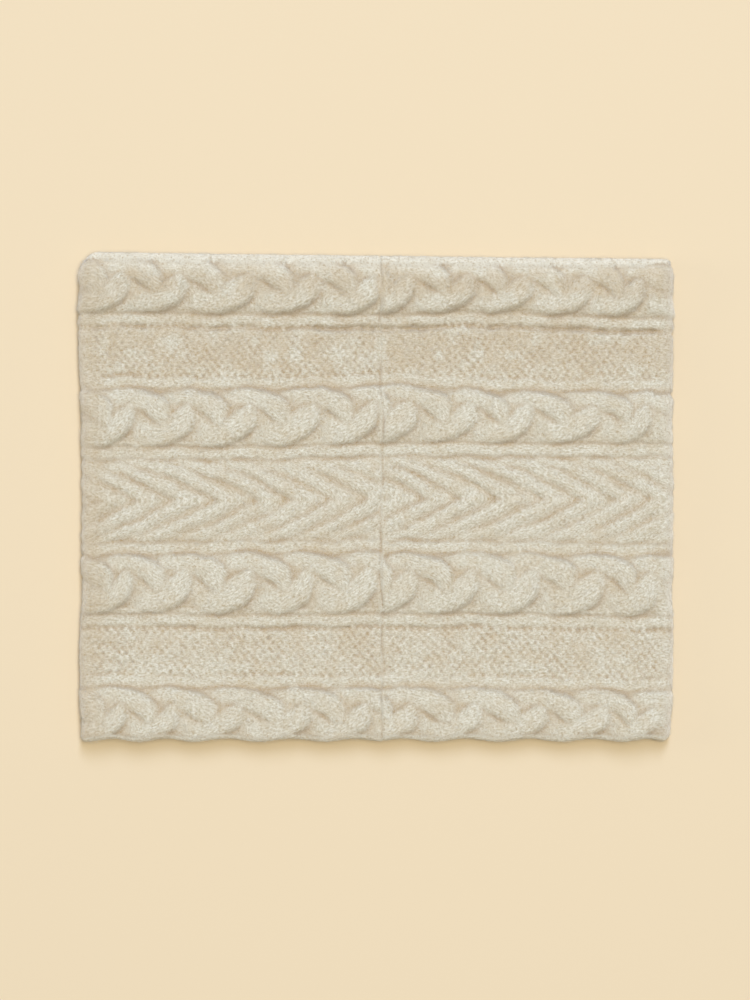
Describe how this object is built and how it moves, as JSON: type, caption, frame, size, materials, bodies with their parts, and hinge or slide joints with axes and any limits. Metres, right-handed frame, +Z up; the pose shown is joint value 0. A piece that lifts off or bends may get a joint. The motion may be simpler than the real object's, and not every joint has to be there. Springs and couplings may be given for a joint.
{
  "type": "cable-knit snood",
  "caption": "Felted wool snood laid flat: an open knitted tube with cable, moss-stitch and chevron bands running round it and one upright seam.",
  "frame": {"origin": "on the surface that the laid snood rests on, under the middle of its outline", "axes": "+X across the laid snood from the left fold to the right one, +Y from the lower rim to the upper rim along the neck bore, +Z up"},
  "size_m": [0.3, 0.2443, 0.0144],
  "materials": {
    "felted_wool": "matt felted lambswool, oatmeal mixed from cream and beige fibres, with a short fuzz"
  },
  "bodies": {
    "root": {"knit_tube": "felted_wool"}
  },
  "joints": []
}
